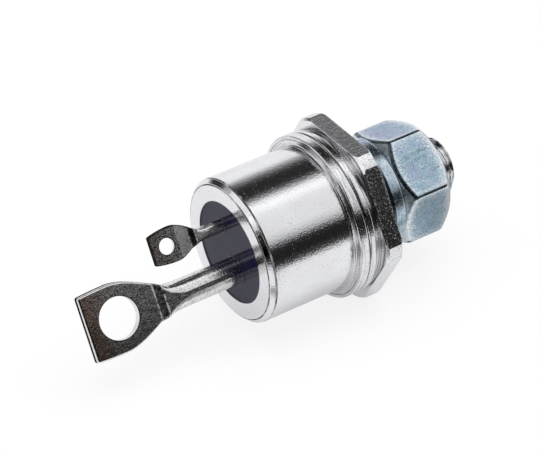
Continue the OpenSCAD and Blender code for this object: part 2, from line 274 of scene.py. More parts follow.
def turned_ring(name, node, corners, materials, grooves=(), scratched=()):
    """Turned ring with a closed, rounded profile. The sides next to a groove's corner get the second
    material, and those between scratched corners the third."""
    profile = rounded(corners)
    rows = len(profile)
    angles = np.arange(RING_SEGMENTS) * 360 / RING_SEGMENTS
    points = spun([profile] * RING_SEGMENTS, angles)
    slots = []
    for i in range(rows):
        tags = {int(profile[i][2]), int(profile[(i + 1) % rows][2])}
        slots += [1 if tags & set(grooves) else 2 if tags <= set(scratched) else 0] * RING_SEGMENTS
    faces = grid_faces(rows, RING_SEGMENTS, wrap_rows=True)
    return add_piece(name, node, points, faces, materials, slots)


def hexagon_r(angle, af, soft=0.0):
    """Radius of a hexagon with a flat towards angle 0, with corners that a soft width rounds."""
    r = [af / 2 / math.cos(math.radians(d)) if abs(d) < 80 else 1e9
         for d in ((angle - 60 * k + 180) % 360 - 180 for k in range(6))]
    near, far = sorted(r)[:2]
    if soft == 0 or far - near >= soft:
        return near
    h = (soft - (far - near)) / soft
    return near - soft * h * h / 4


def grey(v, tint=WHITE):
    """Grey of a level, tinted where wanted."""
    return (v * tint[0], v * tint[1], v * tint[2])


def wire(tree, value, socket):
    """Gives an input another node's output, or a plain number or colour."""
    if hasattr(value, "node"):
        tree.links.new(value, socket)
    elif isinstance(value, tuple):
        socket.default_value = (*value, 1)
    else:
        socket.default_value = value


def made(tree, kind):
    """New shader node of a kind."""
    return tree.nodes.new("ShaderNode" + kind)


def joined(tree, first, second, operation="ADD"):
    """Two values joined by a math operation."""
    node = made(tree, "Math")
    node.operation = operation
    wire(tree, first, node.inputs[0])
    wire(tree, second, node.inputs[1])
    return node.outputs[0]


def folded(tree, operation, values):
    """Several values joined one after the other."""
    total = values[0]
    for value in values[1:]:
        total = joined(tree, total, value, operation)
    return total


def mixed(tree, share, first, second, kind="MIX"):
    """Two colours mixed by a share."""
    node = made(tree, "Mix")
    node.data_type = "RGBA"
    node.blend_type = kind
    for number, value in ((0, share), (6, first), (7, second)):
        wire(tree, value, node.inputs[number])
    return node.outputs[2]


def colored(tree, kind, color):
    """Shader node of a kind, with a colour."""
    node = made(tree, kind)
    wire(tree, color, node.inputs["Color"])
    return node


def mixed_shaders(tree, share, first, second):
    """Node that mixes two shader nodes by a share."""
    node = made(tree, "MixShader")
    tree.links.new(share, node.inputs[0])
    tree.links.new(first.outputs[0], node.inputs[1])
    tree.links.new(second.outputs[0], node.inputs[2])
    return node


def mapped(tree, value, low, high, to_low, to_high, kind="LINEAR"):
    """Value carried from one span over to another, and held at its ends."""
    node = made(tree, "MapRange")
    node.interpolation_type = kind
    for key, v in (("From Min", low), ("From Max", high), ("To Min", to_low), ("To Max", to_high)):
        node.inputs[key].default_value = v
    tree.links.new(value, node.inputs["Value"])
    return node.outputs["Result"]


def eased(tree, value, change):
    """Soft step of a value."""
    return mapped(tree, value, *change, kind="SMOOTHSTEP")


def ramped(tree, value, stops):
    """Colour of a value by a ramp's stops: (position, (r, g, b))."""
    node = made(tree, "ValToRGB")
    ramp = node.color_ramp
    while len(ramp.elements) > 1:
        ramp.elements.remove(ramp.elements[-1])
    for i, (at, color) in enumerate(stops):
        e = ramp.elements[0] if i == 0 else ramp.elements.new(at)
        e.position = at
        e.color = (*color, 1)
    tree.links.new(value, node.inputs["Fac"])
    return node.outputs["Color"]


def dot(tree, vector, direction):
    """Length of a vector along a direction."""
    node = made(tree, "VectorMath")
    node.operation = "DOT_PRODUCT"
    node.inputs[1].default_value = direction
    tree.links.new(vector, node.inputs[0])
    return node.outputs["Value"]


def split(tree, vector):
    """Outputs X, Y and Z of a vector."""
    node = made(tree, "SeparateXYZ")
    tree.links.new(vector, node.inputs[0])
    return node.outputs


def openness(tree, reach, inside=False):
    """How open a place is within a reach in metres, on the outside or the inside of the surface."""
    node = made(tree, "AmbientOcclusion")
    node.samples = OCCLUSION_SAMPLES
    node.inside = inside
    node.inputs["Distance"].default_value = reach
    return node.outputs["AO"]


def around(tree, where, patch, outside, middle):
    """Value that goes from one level outside to another in the middle of a patch around a direction."""
    direction, start, full = patch
    return eased(tree, dot(tree, where, direction), (start, full, outside, middle))


def studio_world():
    """White studio: bright overhead and behind, with dark gaps between. The camera sees plain white."""
    world = bpy.data.worlds.new("studio")
    bpy.context.scene.world = world
    world.use_nodes = True
    tree = world.node_tree
    tree.nodes.clear()
    where = made(tree, "TexCoord").outputs["Generated"]
    axes = split(tree, where)
    angle = joined(tree, axes["Z"], axes["Y"], "ARCTAN2")
    turn = mapped(tree, angle, -math.pi, math.pi, 0.0, 1.0)
    color = ramped(tree, turn, [((degrees + 180) / 360, grey(v, SKY_TINT)) for degrees, v in SKY])
    for patch in (LEFT_SCREEN, RIGHT_SCREEN):
        color = mixed(tree, around(tree, where, patch, 0.0, 1.0), color, SCREEN_COLOR)
    dark_parts = (PHOTOGRAPHER_SIDE, GAP_BEHIND, GAP_IN_FRONT)
    shade = folded(tree, "MULTIPLY", [around(tree, where, patch, 1.0, DARK_LEVEL) for patch in dark_parts])
    light = colored(tree, "Background", color)
    wire(tree, shade, light.inputs["Strength"])
    white = colored(tree, "Background", WHITE)
    path = made(tree, "LightPath")
    both = mixed_shaders(tree, path.outputs["Is Camera Ray"], light, white)
    out = made(tree, "OutputWorld")
    wire(tree, both.outputs[0], out.inputs["Surface"])


def sheet_level(tree, x, y, place):
    """How bright metal and glass see the white sheet, a glow with painted shade. It ends in front of the
    part and to its left, so low mirrored rays see the dark room there. It is painted dim under the stud,
    painted with the part's shade next to it, and has a painted dark strip that slants forward from the
    terminals."""
    dim = folded(tree, "MAXIMUM", [eased(tree, x, DIM_LEFT), eased(tree, y, DIM_BACK),
                                   eased(tree, y, DIM_FRONT)])
    slant = dot(tree, place, STRIP_ACROSS)
    strip = folded(tree, "MAXIMUM", [eased(tree, slant, STRIP_RIGHT), eased(tree, slant, STRIP_LEFT),
                                     eased(tree, y, STRIP_BACK)])
    shade = eased(tree, openness(tree, SHADE_REACH), SHADE_LEVELS)
    return folded(tree, "MULTIPLY", [eased(tree, y, SHEET_FRONT), eased(tree, x, SHEET_LEFT),
                                     dim, shade, strip])


def white_floor():
    """Plain white floor that keeps the part's shadow."""
    half, z = FLOOR_HALF, FLOOR_Z * MM
    mesh = bpy.data.meshes.new("floor")
    corners = [(-half, -half, z), (half, -half, z), (half, half, z), (-half, half, z)]
    mesh.from_pydata(corners, [], [(0, 1, 2, 3)])
    floor = new_object("floor", mesh)
    material = bpy.data.materials.new("floor")
    material.use_nodes = True
    tree = material.node_tree
    tree.nodes.clear()
    matt = colored(tree, "BsdfDiffuse", FLOOR_COLOR)
    seen = colored(tree, "Emission", WHITE)
    place = made(tree, "NewGeometry").outputs["Position"]
    axes = split(tree, place)
    mirrored = colored(tree, "Emission", MIRROR_COLOR)
    wire(tree, sheet_level(tree, axes["X"], axes["Y"], place), mirrored.inputs["Strength"])
    path = made(tree, "LightPath").outputs
    glossy = joined(tree, path["Is Glossy Ray"], path["Is Transmission Ray"], "MAXIMUM")
    share = joined(tree, glossy, eased(tree, axes["Y"], MIRROR_SHARE), "MULTIPLY")
    lit = mixed_shaders(tree, share, matt, mirrored)
    shown = joined(tree, path["Is Camera Ray"], SEEN_SHARE, "MULTIPLY")
    out = made(tree, "OutputMaterial")
    wire(tree, mixed_shaders(tree, shown, lit, seen).outputs[0], out.inputs["Surface"])
    mesh.materials.append(material)


def overhead_lamp():
    """Soft lamp over the part, which metal doesn't mirror."""
    lamp = bpy.data.lights.new("overhead", "AREA")
    lamp.shape = "RECTANGLE"
    lamp.size = LAMP_SIZE
    lamp.size_y = LAMP_SIZE
    lamp.energy = LAMP_POWER
    top = new_object("overhead", lamp)
    top.location = LAMP_PLACE
    top.visible_glossy = False


def place_camera():
    """Camera at the photograph's viewpoint."""
    data = bpy.data.cameras.new("camera")
    data.sensor_fit = "HORIZONTAL"
    data.sensor_width = 36
    data.lens = CAMERA_LENS
    data.clip_start = 0.01
    camera = new_object("camera", data)
    r, u, f, p = CAMERA_RIGHT, CAMERA_UP, CAMERA_FORWARD, CAMERA_PLACE
    camera.matrix_world = Matrix([[r[i], u[i], -f[i], p[i]] for i in range(3)] + [[0, 0, 0, 1]])
    bpy.context.scene.camera = camera


class Surface:
    """Small helper that wires a procedural material."""

    def __init__(self, name, metallic):
        self.material = bpy.data.materials.new(name)
        self.material.use_nodes = True
        self.tree = self.material.node_tree
        self.shader = self.tree.nodes["Principled BSDF"]
        self.shader.inputs["Metallic"].default_value = metallic
        where = made(self.tree, "TexCoord")
        self.place = where.outputs["Object"]
        self.outward = where.outputs["Normal"]
        self.normal = None
        self.link = self.tree.links.new
        self.ramp = partial(ramped, self.tree)
        self.spread = partial(mapped, self.tree)
        self.mix = partial(mixed, self.tree)
        self.join = partial(joined, self.tree)
        self.times = partial(joined, self.tree, operation="MULTIPLY")

    def noise_over(self, place, size, detail, rough):
        """Noise over a place, with features of a size in millimetres."""
        n = made(self.tree, "TexNoise")
        for key, v in (("Scale", 1000 / size), ("Detail", detail), ("Roughness", rough)):
            n.inputs[key].default_value = v
        self.link(place, n.inputs["Vector"])
        return n.outputs["Fac"]

    def noise(self, size, detail=3.0, stretch=None):
        """Noise with features of a size in millimetres, stretched along the axes where wanted."""
        place = self.place
        if stretch:
            scale = made(self.tree, "VectorMath")
            scale.operation = "MULTIPLY"
            scale.inputs[1].default_value = stretch
            self.link(place, scale.inputs[0])
            place = scale.outputs[0]
        return self.noise_over(place, size, detail, 0.55)

    def rings(self, size):
        """Turning marks of a width in millimetres around the X axis, broken up along their length."""
        axes = split(self.tree, self.place)
        across = made(self.tree, "CombineXYZ")
        self.link(axes["Y"], across.inputs["Y"])
        self.link(axes["Z"], across.inputs["Z"])
        radius = made(self.tree, "VectorMath")
        radius.operation = "LENGTH"
        self.link(across.outputs[0], radius.inputs[0])
        marks = made(self.tree, "CombineXYZ")
        self.link(axes["X"], marks.inputs["X"])
        self.link(radius.outputs["Value"], marks.inputs["Y"])
        self.link(dot(self.tree, self.place, (0, 0.05, 0.03)), marks.inputs["Z"])
        return self.noise_over(marks.outputs[0], size, 2, 0.5)

    def bump(self, height, strength, distance):
        """Adds a bump of a depth in millimetres over what is there already."""
        b = made(self.tree, "Bump")
        b.inputs["Strength"].default_value = strength
        b.inputs["Distance"].default_value = distance * MM
        self.link(height, b.inputs["Height"])
        if self.normal:
            self.link(self.normal, b.inputs["Normal"])
        self.normal = b.outputs["Normal"]
        self.link(self.normal, self.shader.inputs["Normal"])

    def specks(self, size, limit, most=1.0):
        """Crisp spots of a size in millimetres where a noise is over a limit."""
        return self.spread(self.noise(size, 1.0), limit, limit + 0.03, 0, most)

    def facing(self, direction):
        """1 on faces that lie square to a direction, either way round, and 0 on the others."""
        size = made(self.tree, "Math")
        size.operation = "ABSOLUTE"
        self.link(dot(self.tree, self.outward, direction), size.inputs[0])
        return self.spread(size.outputs[0], 0.9, 0.98, 0, 1)

    def axis(self, name):
        """One coordinate in metres."""
        return split(self.tree, self.place)[name]

    def along(self, axis, start, end, to_start, to_end):
        """Value that changes between two places in millimetres along an axis."""
        return self.spread(axis, start * MM, end * MM, to_start, to_end)

    def crevice(self, reach):
        """1 in the open and less in seams and corners narrower than a reach in millimetres."""
        return openness(self.tree, reach * MM)

    def edge(self, reach):
        """1 along outer edges, falling to 0 over a reach in millimetres."""
        return self.spread(openness(self.tree, reach * MM, True), 0.8, 1.0, 1, 0)

    def color(self, value):
        self.link(value, self.shader.inputs["Base Color"])

    def rough(self, value):
        self.link(value, self.shader.inputs["Roughness"])


def nickel(name, low, high, grain, pit_limit, salt_limit, edge_salt=0.0, scratch=0.0):
    """Bright nickel plate with a fine grain, dark pits, matt specks, and grime with painted shade in the
    seams.
    """
    s = Surface(name, 1.0)
    base = s.ramp(s.noise(2.4, 4), [(0.3, grey(0.85, (0.99, 0.985, 0.99))),
                                    (0.7, grey(0.91, (0.975, 0.98, 1)))])
    base = s.mix(s.specks(0.12, pit_limit, 0.85), base, grey(0.1, (1, 0.95, 0.9)))
    if scratch:
        base = s.mix(s.spread(s.rings(0.1), 0.38, 0.5, scratch, 0), base, grey(0.2, (1, 0.97, 0.94)))
        s.bump(s.rings(0.12), 1.0, 0.012)
    # Painted shade: seams and corners darken by how shut in they are, together with grime
    grime_and_shade = s.spread(s.crevice(0.55), 0.3, 0.85, 0.9, 0)
    s.color(s.mix(grime_and_shade, base, grey(0.06, (1, 0.96, 0.9))))
    rough = s.spread(s.noise(0.5, 4), 0.3, 0.7, low, high)
    rough = s.join(rough, s.specks(0.13, salt_limit, 0.75))
    if edge_salt:
        rough = s.join(rough, s.times(s.edge(0.3), s.specks(0.15, 0.54, edge_salt)))
        s.bump(s.noise(0.4, 3), 1.0, 0.018)
    else:
        s.bump(s.rings(0.14), 1.0, 0.004)
    s.rough(rough)
    s.bump(s.noise(1.1, 2), 0.5, 0.005)
    s.bump(s.noise(0.3, 2), 1.0, grain * 0.6)
    s.bump(s.noise(0.14, 1), 1.0, grain)
    return s.material


def seat_metal():
    """Dull turned face under the flange, painted dark as the shade between the flange and the washer."""
    s = Surface("nickel_seat", 1.0)
    stops = [(0.3, grey(0.14, (1, 0.98, 0.95))), (0.7, grey(0.24, (1, 0.98, 0.96)))]
    s.color(s.ramp(s.noise(1.2, 4), stops))
    s.rough(s.spread(s.noise(0.5, 3), 0.3, 0.7, 0.22, 0.36))
    s.bump(s.rings(0.2), 1.0, 0.008)
    s.bump(s.noise(0.2, 2), 0.6, 0.008)
    return s.material


def dark_line():
    """Grime and painted shade in the turned grooves, rubbed off in places."""
    s = Surface("grime_and_shade", 0.6)
    dark = s.ramp(s.noise(0.3, 3), [(0.3, (0.03, 0.028, 0.026)), (0.7, (0.16, 0.15, 0.14))])
    s.color(s.mix(s.spread(s.noise(2.6, 3), 0.46, 0.6, 0, 1), dark, grey(0.7)))
    s.rough(s.spread(s.noise(0.3, 3), 0.3, 0.7, 0.3, 0.5))
    s.bump(s.noise(0.15, 2), 0.5, 0.01)
    return s.material


def zinc(name, wear, reach=0.8, rim=0.9, dull=0.0, brushed=0.0):
    """Blue-passivated zinc with a fine grain, tinged patches, glints, a pale rim and pale wear."""
    s = Surface(name, 1.0)
    stops = [(0.3, (0.22, 0.37, 0.47)), (0.5, (0.33, 0.50, 0.61)), (0.7, (0.56, 0.71, 0.80))]
    base = s.ramp(s.noise(0.17, 2), stops)
    base = s.mix(s.spread(s.noise(1.5, 3), 0.46, 0.64, 0, 0.55), base, (0.38, 0.41, 0.62))
    base = s.mix(s.spread(s.noise(2.1, 3), 0.48, 0.66, 0, 0.5), base, (0.22, 0.43, 0.47))
    # The side that lies uppermost has a pink tinge, and painted shade makes it darker
    pink = s.times(s.spread(s.noise(2.8, 2), 0.42, 0.6, 0.25, 0.85), s.facing(NUT_TOP))
    base = s.mix(pink, base, (0.37, 0.35, 0.57))
    base = s.mix(s.facing(NUT_TOP), base, (0.76, 0.82, 0.9), "MULTIPLY")
    smear = s.noise(0.5, 3, stretch=(0.3, 1, 1))
    base = s.mix(s.spread(smear, 0.5, 0.66, 0, 0.5), base, (0.17, 0.29, 0.35))
    if brushed:
        base = s.mix(s.spread(s.rings(0.11), 0.36, 0.52, brushed, 0), base, (0.07, 0.12, 0.15))
    base = s.mix(s.specks(0.15, 0.66, 0.7), base, (0.08, 0.12, 0.16))
    border = s.spread(s.edge(1.8), 0, 1, 0, 0.16)
    glint = s.spread(s.join(s.noise(0.13, 1), border), 0.67, 0.73, 0, 0.9 - brushed)
    base = s.mix(glint, base, (0.93, 0.96, 0.97))
    pale = s.times(s.edge(rim), s.spread(s.noise(0.22, 2), 0.4, 0.55, 0.45, 1))
    pale = s.join(pale, s.spread(s.noise(0.6, 3), 0.35, 0.6, 0, wear), "MAXIMUM")
    base = s.mix(pale, base, (0.93, 0.96, 0.97))
    # Painted shade: seams and corners darken by how shut in they are, together with grime
    grime_and_shade = s.spread(s.crevice(reach), 0.35, 0.85, 0.92, 0)
    s.color(s.mix(grime_and_shade, base, (0.02, 0.03, 0.04)))
    smooth = s.spread(s.noise(0.4, 4), 0.3, 0.7, 0.16 + dull, 0.28 + dull)
    s.rough(s.join(smooth, s.specks(0.15, 0.62, 0.3)))
    s.bump(s.noise(0.22, 2), 1.0, 0.012)
    return s.material


def dark_zinc():
    """Tarnish and painted shade on the zinc's rounded corners and where it is shut in."""
    s = Surface("dark_zinc", 1.0)
    s.color(s.ramp(s.noise(0.3, 3), [(0.3, (0.03, 0.045, 0.05)), (0.7, (0.16, 0.22, 0.26))]))
    s.rough(s.spread(s.noise(0.3, 3), 0.3, 0.7, 0.2, 0.36))
    s.bump(s.noise(0.2, 2), 0.6, 0.01)
    return s.material


def lug(name, pin_from, tip, brown, smooth, dull_from=None):
    """Pressed pin: bright plate, peppered on the round, finely matt on the flat and stained towards the tip.
    The flat is duller from one place on, where that is given. Places are in millimetres along X."""
    s = Surface(name, 1.0)
    x = s.axis("X")
    flat = s.facing(FLAT_NORMAL)
    base = s.ramp(s.noise(0.7, 4), [(0.3, grey(0.76, (1, 0.99, 0.97))), (0.7, grey(0.9, (1, 0.995, 0.98)))])
    base = s.mix(s.specks(0.15, 0.66, 0.6), base, grey(0.14, (1, 0.94, 0.88)))
    pepper = s.times(s.specks(0.17, 0.58, 0.5), s.along(x, pin_from - 1, pin_from, 0, 1))
    base = s.mix(pepper, base, grey(0.25, (1, 0.97, 0.93)))
    stain = s.times(s.along(x, *tip, brown, 0), flat)
    base = s.mix(stain, base, (0.79, 0.57, 0.50), "MULTIPLY")
    rough = s.spread(s.noise(0.4, 4), 0.3, 0.7, smooth, smooth * 2)
    matt = s.spread(s.noise(0.13, 2), 0.38, 0.62, 0.0, 0.24)
    matt = s.times(matt, s.along(s.axis("Z"), -4.5, 1, 0.25, 1))
    rough = s.join(rough, s.times(matt, flat))
    if dull_from:
        past = s.times(s.along(x, dull_from - 0.02, dull_from + 0.02, 0, 1), flat)
        base = s.mix(s.times(past, s.specks(0.16, 0.52, 0.35)), base, grey(0.3, (1, 0.97, 0.94)))
        dull = s.spread(s.noise(0.3, 3), 0.35, 0.65, 0.12, 0.46)
        rough = s.join(rough, s.times(past, dull))
        line = s.times(past, s.along(x, dull_from + 0.07, dull_from + 0.1, 1, 0))
        rough = s.join(rough, s.times(line, s.spread(s.noise(0.3, 2), 0.4, 0.6, 0, 0.4)))
    s.color(base)
    s.rough(rough)
    s.bump(s.noise(0.9, 2), 0.6, 0.012)
    s.bump(s.noise(0.28, 2), 1.0, 0.009)
    s.bump(s.noise(0.14, 1), 1.0, 0.008)
    return s.material


def worn_metal():
    """Rubbed creases of the pressed pins."""
    s = Surface("worn_crease", 1.0)
    s.color(s.ramp(s.noise(0.4, 2), [(0.38, grey(0.12)), (0.54, grey(0.95))]))
    s.rough(s.spread(s.noise(0.3, 2), 0.3, 0.55, 0.4, 0.75))
    s.bump(s.noise(0.25, 2), 0.8, 0.02)
    return s.material


def pressed_metal():
    """Ramp between a pressed pin's two creases, painted dark as a painted reflection."""
    s = Surface("pressed_ramp", 1.0)
    stops = [(0.35, grey(0.07, (1, 0.96, 0.92))), (0.65, grey(0.27, (1, 0.98, 0.95)))]
    base = s.ramp(s.noise(0.5, 4), stops)
    s.color(s.mix(s.specks(0.2, 0.66, 0.8), base, grey(0.9)))
    s.rough(s.spread(s.noise(0.3, 3), 0.3, 0.7, 0.2, 0.42))
    s.bump(s.noise(0.3, 2), 1.0, 0.016)
    return s.material


def sheared_metal():
    """Torn part of a punched edge, painted black as painted shade."""
    s = Surface("sheared_edge", 0.0)
    s.shader.inputs["Specular IOR Level"].default_value = 0.0
    s.color(s.ramp(s.noise(0.3, 3), [(0.3, (0.006, 0.006, 0.006)), (0.7, (0.035, 0.033, 0.03))]))
    s.rough(s.spread(s.noise(0.3, 3), 0.3, 0.7, 0.4, 0.6))
    s.bump(s.noise(0.15, 2), 0.6, 0.01)
    return s.material


def glass():
    """Dark violet glass, fused and glossy."""
    s = Surface("seal_glass", 0.0)
    s.shader.inputs["IOR"].default_value = 1.25
    s.color(s.ramp(s.noise(1.5, 3), [(0.35, (0.011, 0.010, 0.034)), (0.65, (0.018, 0.017, 0.045))]))
    s.rough(s.spread(s.noise(0.8, 3), 0.3, 0.7, 0.06, 0.13))
    s.bump(s.noise(0.7, 3), 0.3, 0.01)
    return s.material


def materials():
    """Looks of the pieces that show."""
    return {
        "nickel": nickel("nickel", 0.05, 0.1, 0.012, 0.71, 0.725),
        "scratched": nickel("nickel_scratched", 0.07, 0.16, 0.01, 0.66, 0.68, scratch=0.4),
        "pitted": nickel("nickel_pitted", 0.06, 0.14, 0.012, 0.6, 0.64),
        "flat": nickel("nickel_flat", 0.05, 0.12, 0.01, 0.7, 0.655, edge_salt=0.4),
        "seat": seat_metal(),
        "grime_and_shade": dark_line(),
        "zinc": zinc("blue_zinc", 0.15),
        "zinc_edge": zinc("blue_zinc_edge", 1.0, dull=-0.08),
        "zinc_bevel": zinc("blue_zinc_bevel", 0.8, 0.35, dull=0.08),
        "zinc_washer": zinc("blue_zinc_washer", 0.3, 0.3, 0.3, brushed=0.6),
        "zinc_dark": dark_zinc(),
        "cathode": lug("cathode_metal", -22.0, (-30.6, -27.6), 1.0, 0.09),
        "gate": lug("gate_metal", -17.2, (-22.2, -19.4), 0.5, 0.06, dull_from=-19.24),
        "worn": worn_metal(),
        "pressed": pressed_metal(),
        "sheared": sheared_metal(),
        "glass": glass(),
    }


def build_cap(m):
    """Cap with its weld flange, fillet, turned grooves and bevelled mouth. Corners are (r, z, rounding)."""
    z_bevel = Z_FACE - MOUTH_BEVEL_L
    bevel_in = CAP_R - MOUTH_BEVEL
    corners = [
        (CAP_BORE_R, Z_CAP, 0.1), (WELD_R, Z_CAP, 0.22), (WELD_R, Z_CAP_FLANGE, 0.26),
        (CAP_R + 0.68, Z_CAP_FLANGE, 0.02), (CAP_R + 0.64, Z_CAP_FLANGE - 0.05, 0),
        (CAP_R + 0.6, Z_CAP_FLANGE, 0.02), (CAP_R, Z_CAP_FLANGE, 0.52), (CAP_R, z_bevel - 0.19, 0.02),
        (CAP_R - 0.08, z_bevel - 0.05, 0), (CAP_R - 0.03, z_bevel + 0.03, 0.03),
        (bevel_in + 0.05, Z_FACE - 0.05, 0.06), (bevel_in - 0.05, Z_FACE - 0.09, 0),
        (bevel_in - 0.13, Z_FACE, 0.02), (GLASS_R, Z_FACE, 0.05), (GLASS_R, Z_GLASS_UNDER, 0.04),
        (CAP_BORE_R, Z_GLASS_UNDER, 0.1),
    ]
    looks = [m["nickel"], m["grime_and_shade"], m["scratched"]]
    turned_ring("cap", "housing_cap", corners, looks,
                grooves=(4, 8, 11), scratched=(1, 2, 3, 5, 6))


def build_weld_ring(m):
    """Narrow ring between the cap and the base."""
    inner_r = PEDESTAL_R + 0.05
    corners = [(inner_r, Z_WELD_RING, 0.05), (WELD_R, Z_WELD_RING, 0.25), (WELD_R, Z_CAP, 0.25),
               (inner_r, Z_CAP, 0.05)]
    turned_ring("welded_ring", "weld_ring", corners, [m["scratched"]])


def thread_r(angle, z):
    """Radius of the right-hand thread at an angle and a height."""
    t = (z / PITCH - angle / 360) % 1
    rise = abs(2 * t - 1)
    depth = float(np.clip((rise - CREST_SHARE) / FLANK_SHARE, 0, 1))
    return STUD_R - THREAD_PLAY - THREAD_DEPTH * depth


def base_profile(angle):
    """Profile of the base at an angle, from its top down to the stud's tip."""
    r = min(hexagon_r(angle, FLANGE_AF), FLANGE_CORNER_R)
    drop = max(0.06, r - (FLANGE_CORNER_R - CORNER_BEVEL))
    upper = rounded([
        (2, Z_PLATE, 0), (PEDESTAL_R, Z_PLATE, 0.1), (PEDESTAL_R, Z_WELD_RING, 0.03),
        (STEP_R, Z_WELD_RING, 0.06), (STEP_R, FLANGE_H, 0.08), (r - drop, FLANGE_H, 0.02),
        (r, FLANGE_H - drop, 0.02), (r, drop, 0.02), (r - drop, 0, 0.02), (RELIEF_R, 0, 0.12),
        (RELIEF_R, -RELIEF_L, 0),
    ], closed=False, steps=3)[:, :2]
    lower = []
    for z in np.arange(-RELIEF_L - 0.35, -STUD_L + 0.02, -PITCH / THREAD_STEPS):
        taper = STUD_R - STUD_BEVEL * max(0.0, (z + STUD_L - STUD_BEVEL_L) / -STUD_BEVEL_L)
        relief = RELIEF_R + max(0.0, -RELIEF_L - z)
        lower.append((min(thread_r(angle, z), taper, relief), z))
    tip_r = STUD_R - STUD_BEVEL - 0.03
    lower += [(min(tip_r, lower[-1][0] - 0.02), -STUD_L), (1.2, -STUD_L)]
    return np.vstack([upper, lower])


def build_stud_base(m):
    """Hexagonal flange, pedestal and threaded stud as one skin from pole to pole."""
    flat_end = math.degrees(math.acos(FLANGE_AF / 2 / FLANGE_CORNER_R))
    bevel_end = math.degrees(math.acos(FLANGE_AF / 2 / (FLANGE_CORNER_R - CORNER_BEVEL)))
    angles = {round(i * 2.5, 4) for i in range(144)}
    for k in range(6):
        for a in [flat_end, flat_end - 0.15, flat_end + 0.15] + list(np.linspace(bevel_end, flat_end, 5)):
            angles |= {round((60 * k + a) % 360, 4), round((60 * k - a) % 360, 4)}
    angles = sorted(angles)
    profiles = [base_profile(a) for a in angles]
    rows, cols = len(profiles[0]), len(angles)
    points = spun(profiles, angles)
    faces = grid_faces(rows, cols)
    first, last = len(points), len(points) + 1
    points = np.vstack([points, [(0, 0, Z_PLATE), (0, 0, -STUD_L)]])
    # The hexagon's milled sides, the only tall quads so far out, have a coarser grain than what was turned.
    # Its corners are pitted, and the seat is dull and painted dark as shade
    slots = np.zeros(len(faces), int)
    for f, quad in enumerate(faces):
        corners = points[list(quad)]
        r = np.hypot(*corners.mean(0)[:2])
        if np.ptp(corners[:, 2]) > 0.8 and r > FLANGE_AF / 2 - 0.05:
            slots[f] = 1 if r < FLANGE_CORNER_R * 0.9992 else 3
        elif np.abs(corners[:, 2]).max() < 0.01:
            slots[f] = 2
    for j in range(cols):
        k = (j + 1) % cols
        faces.append((first, k, j))
        faces.append((last, (rows - 1) * cols + j, (rows - 1) * cols + k))
    slots = np.concatenate([slots, np.zeros(2 * cols, int)])
    looks = [m["nickel"], m["flat"], m["seat"], m["pitted"]]
    add_piece("threaded_base", "stud_base", points, faces, looks, slots)


def build_nut(m):
    """Nut with bevelled faces, soft corners and a bevel at both ends of its hole."""
    angles = {round(i * 3.0, 4) for i in range(120)}
    for k in range(6):
        for d in np.arange(0.45, 4.1, 0.45):
            angles |= {round((30 + 60 * k + d) % 360, 4), round((30 + 60 * k - d) % 360, 4)}
    angles = sorted(angles)
    low, high = Z_NUT - NUT_H, Z_NUT
    profiles = []
    for a in angles:
        r = hexagon_r(a, NUT_AF, NUT_SOFT)
        fall = (r - NUT_FACE_R) * NUT_BEVEL_SLOPE
        profiles.append(rounded([
            (NUT_BORE_R, low + NUT_MOUTH, 0.05), (NUT_BORE_R + NUT_MOUTH, low, 0.05),
            (NUT_FACE_R, low, 0.12), (r, low + fall, 0.2), (r, high - fall, 0.45), (NUT_FACE_R, high, 0.12),
            (NUT_BORE_R + NUT_MOUTH, high, 0.05), (NUT_BORE_R, high - NUT_MOUTH, 0.05),
        ], steps=3))
    points = spun(profiles, np.array(angles) + NUT_TURN)
    faces = grid_faces(len(profiles[0]), len(angles), wrap_rows=True)
    # The flats' rounded ends are worn pale outside and get tarnish and painted shade inside, apart from one
    # side left without it. The corners between the flats get the tarnish and painted shade too
    tags = profiles[0][:, 2].astype(int)
    slots = []
    for i, tag in enumerate(tags):
        pair = (tag, tags[(i + 1) % len(tags)])
        for j, a in enumerate(angles):
            off = (a + (angles[(j + 1) % len(angles)] - a) % 360 / 2) % 60 - 30
            if pair == (4, 4) and NUT_UNSHADED_SIDE[0] < a < NUT_UNSHADED_SIDE[1]:
                slots.append(3)
            elif pair == (3, 4) and abs(off) < NUT_DARK_CORNER or pair == (4, 4):
                slots.append(2)
            else:
                slots.append({(3, 3): 1, (4, 5): 3}.get(pair, 0))
    looks = [m["zinc"], m["zinc_edge"], m["zinc_dark"], m["zinc_bevel"]]
    add_piece("nut", "hex_nut", points, faces, looks, slots)


def build_washer(m):
    """Split spring washer, wound to match the thread."""
    turn = 360 - WASHER_SPLIT
    first = WASHER_SPLIT_TURN + WASHER_SPLIT / 2
    r0, r1 = WASHER_IN_R, WASHER_IN_R + WASHER_W
    section = rounded([(r0, 0, 0.12), (r1, 0.0, 0.24), (r1, WASHER_T, 0.24), (r0, WASHER_T, 0.12)])
    points = []
    for i in range(WASHER_STEPS + 1):
        a = math.radians(first + turn * i / WASHER_STEPS)
        z = Z_NUT + WASHER_SEAT + WASHER_RISE * (1 - i / WASHER_STEPS)
        points += [(r * math.cos(a), r * math.sin(a), z + h) for r, h, _ in section]
    n = len(section)
    faces = grid_faces(WASHER_STEPS + 1, n)
    faces += [tuple(range(n)), tuple(WASHER_STEPS * n + i for i in range(n))]
    # The side towards the flange gets tarnish and painted shade
    tags = section[:, 2].astype(int)
    row = [int((tags[j], tags[(j + 1) % n]) in ((2, 2), (2, 3), (3, 3))) for j in range(n)]
    slots = row * WASHER_STEPS + [0, 0]
    add_piece("washer", "lock_washer", points, faces, [m["zinc_washer"], m["zinc_dark"]], slots)


